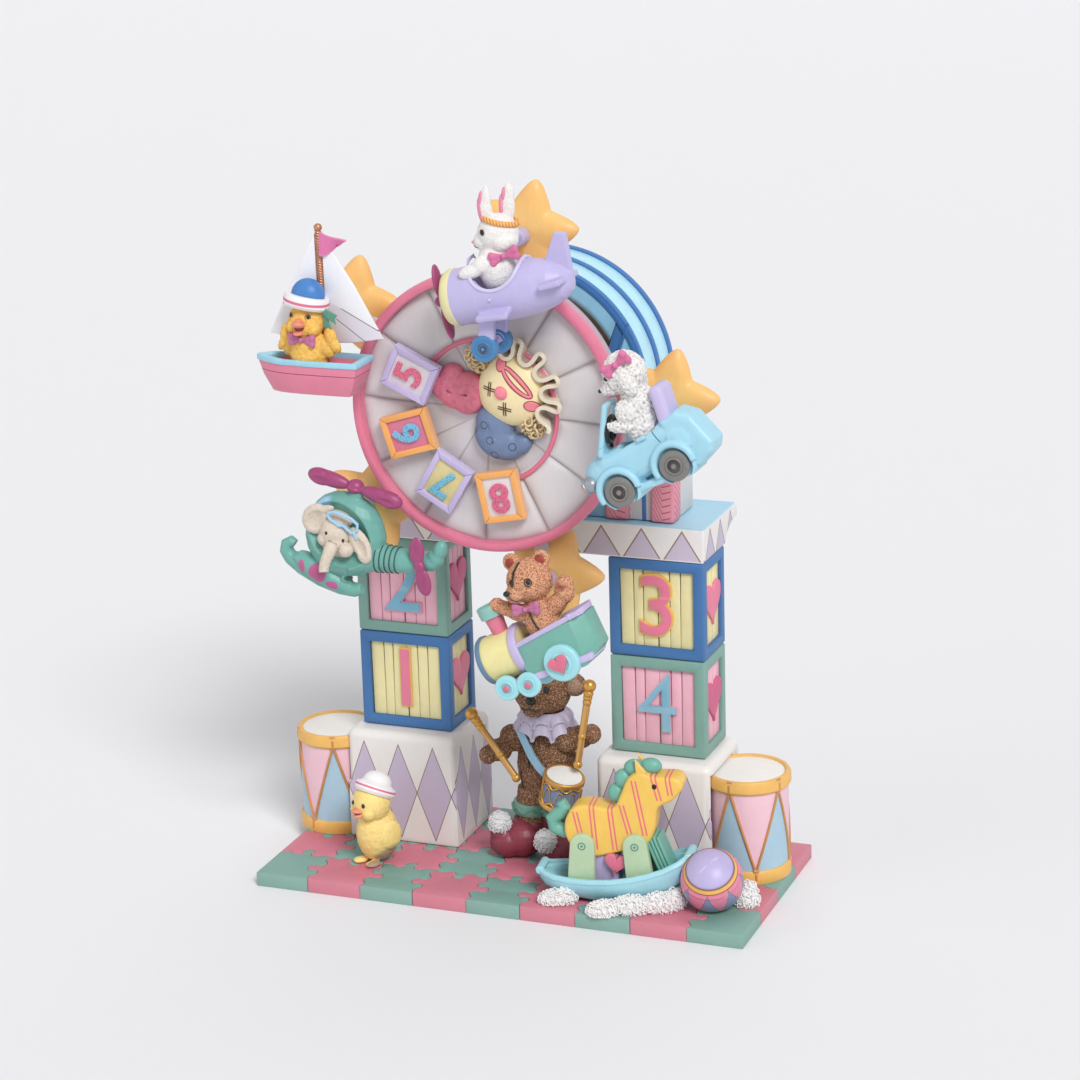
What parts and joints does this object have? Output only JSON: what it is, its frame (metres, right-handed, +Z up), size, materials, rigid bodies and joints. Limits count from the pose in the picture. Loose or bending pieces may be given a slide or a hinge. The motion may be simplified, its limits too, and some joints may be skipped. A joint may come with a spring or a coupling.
{
  "type": "ferris wheel music box",
  "caption": "Toy-block tower music box whose spring-driven ferris wheel carries hanging animal vehicles level round a pinned-cylinder clockwork movement.",
  "frame": {"origin": "centre of the flat underside of the base slab, on the surface that it stands on", "axes": "+Z up, -Y the front that the wheel faces, +X the viewer's right seen from the front"},
  "size_m": [0.207, 0.1201, 0.2828],
  "materials": {
    "jigsaw_slab": "satin painted resin",
    "harlequin_white": "satin painted resin",
    "drum_shell": "satin painted resin",
    "block_blue": "satin painted resin",
    "block_teal": "satin painted resin",
    "rainbow_blue": "satin painted resin",
    "cover_blue": "satin",
    "steel": "brushed",
    "brass": "satin",
    "wheel_grey": "satin painted resin",
    "rim_rose": "satin painted resin",
    "frame_orange": "satin painted resin",
    "frame_lilac": "satin painted resin",
    "clown_cream": "satin painted resin",
    "ruffle_cream": "satin painted resin",
    "star_orange": "satin painted resin",
    "plane_lilac": "satin painted resin",
    "rabbit_white": "textured painted resin",
    "car_blue": "satin painted resin",
    "dog_white": "textured painted resin",
    "train_teal": "satin painted resin",
    "bear_tan": "textured painted resin",
    "helicopter_teal": "satin painted resin",
    "elephant_grey": "matte painted resin",
    "boat_pink": "satin painted resin",
    "sail_white": "satin painted resin",
    "duck_yellow": "satin painted resin",
    "bear_brown": "textured painted resin",
    "toy_drum_blue": "satin painted resin",
    "gold": "metallic paint",
    "horse_yellow": "satin painted resin",
    "rocker_blue": "satin painted resin",
    "ball_lilac": "satin painted resin",
    "fleece_white": "crinkled fibre"
  },
  "bodies": {
    "stand": {"base_slab": "jigsaw_slab", "pedestal_left": "harlequin_white", "pedestal_right": "harlequin_white", "drum_left": "drum_shell", "drum_right": "drum_shell", "block_left_lower": "block_blue", "block_left_upper": "block_teal", "block_right_lower": "block_teal", "block_right_upper": "block_blue", "lintel": "harlequin_white", "rainbow_arch": "rainbow_blue", "back_cover": "cover_blue", "movement_front_plate": "brass", "movement_back_plate": "brass", "music_comb": "steel", "duckling": "duck_yellow", "drummer_bear": "bear_brown", "toy_drum": "toy_drum_blue", "drumstick_left": "gold", "drumstick_right": "gold", "rocking_horse": "horse_yellow", "horse_rocker": "rocker_blue", "toy_ball": "ball_lilac", "fleece_left": "fleece_white", "fleece_middle": "fleece_white", "fleece_right": "fleece_white"},
    "wheel": {"wheel_disc": "wheel_grey", "wheel_rim": "rim_rose", "wheel_block_1": "frame_orange", "wheel_block_2": "frame_lilac", "wheel_block_3": "frame_orange", "wheel_block_4": "frame_lilac", "clown_head": "clown_cream", "clown_ruffle": "ruffle_cream", "star_top": "star_orange", "star_upper_left": "star_orange", "star_lower_left": "star_orange", "star_bottom": "star_orange", "star_right": "star_orange", "wheel_axle": "steel", "spring_barrel": "brass"},
    "gondola_airplane": {"airplane": "plane_lilac", "rabbit": "rabbit_white", "pivot_pin_top": "steel"},
    "gondola_car": {"car": "car_blue", "dog": "dog_white", "pivot_pin_right": "steel"},
    "gondola_train": {"train": "train_teal", "train_bear": "bear_tan", "pivot_pin_bottom": "steel"},
    "gondola_helicopter": {"helicopter": "helicopter_teal", "elephant": "elephant_grey", "pivot_pin_lower_left": "steel"},
    "gondola_sailboat": {"sailboat": "boat_pink", "boat_sails": "sail_white", "boat_duck": "duck_yellow", "pivot_pin_upper_left": "steel"},
    "music_cylinder": {"music_cylinder": "brass"},
    "governor": {"governor_fly": "steel"},
    "winding_key": {"winding_key": "steel"}
  },
  "joints": [
    {"name": "wheel_spin", "type": "hinge", "parent": "stand", "child": "wheel", "pos_m": [-0.0036, -0.02, 0.1938], "axis": [0, 1, 0], "continuous": true},
    {"name": "airplane_pivot", "type": "hinge", "parent": "wheel", "child": "gondola_airplane", "pos_m": [0.01039, -0.015, 0.25963], "axis": [0, 1, 0], "continuous": true},
    {"name": "car_pivot", "type": "hinge", "parent": "wheel", "child": "gondola_car", "pos_m": [0.06344, -0.015, 0.19967], "axis": [0, 1, 0], "continuous": true},
    {"name": "train_pivot", "type": "hinge", "parent": "wheel", "child": "gondola_train", "pos_m": [0.0172, -0.015, 0.12979], "axis": [0, 1, 0], "continuous": true},
    {"name": "helicopter_pivot", "type": "hinge", "parent": "wheel", "child": "gondola_helicopter", "pos_m": [-0.0559, -0.015, 0.15145], "axis": [0, 1, 0], "continuous": true},
    {"name": "sailboat_pivot", "type": "hinge", "parent": "wheel", "child": "gondola_sailboat", "pos_m": [-0.06129, -0.015, 0.22846], "axis": [0, 1, 0], "continuous": true},
    {"name": "cylinder_spin", "type": "hinge", "parent": "stand", "child": "music_cylinder", "pos_m": [-0.0036, 0.028, 0.1757], "axis": [0, 1, 0], "continuous": true},
    {"name": "governor_spin", "type": "hinge", "parent": "stand", "child": "governor", "pos_m": [0.0065, 0.028, 0.1757], "axis": [0, 1, 0], "continuous": true},
    {"name": "key_wind", "type": "hinge", "parent": "stand", "child": "winding_key", "pos_m": [-0.0036, 0.045, 0.1938], "axis": [0, 1, 0], "continuous": true}
  ],
  "couplings": [
    {"joint": "airplane_pivot", "follows": "wheel_spin", "ratio": -1},
    {"joint": "car_pivot", "follows": "wheel_spin", "ratio": -1},
    {"joint": "train_pivot", "follows": "wheel_spin", "ratio": -1},
    {"joint": "helicopter_pivot", "follows": "wheel_spin", "ratio": -1},
    {"joint": "sailboat_pivot", "follows": "wheel_spin", "ratio": -1},
    {"joint": "cylinder_spin", "follows": "wheel_spin", "ratio": -2},
    {"joint": "governor_spin", "follows": "wheel_spin", "ratio": 3}
  ]
}
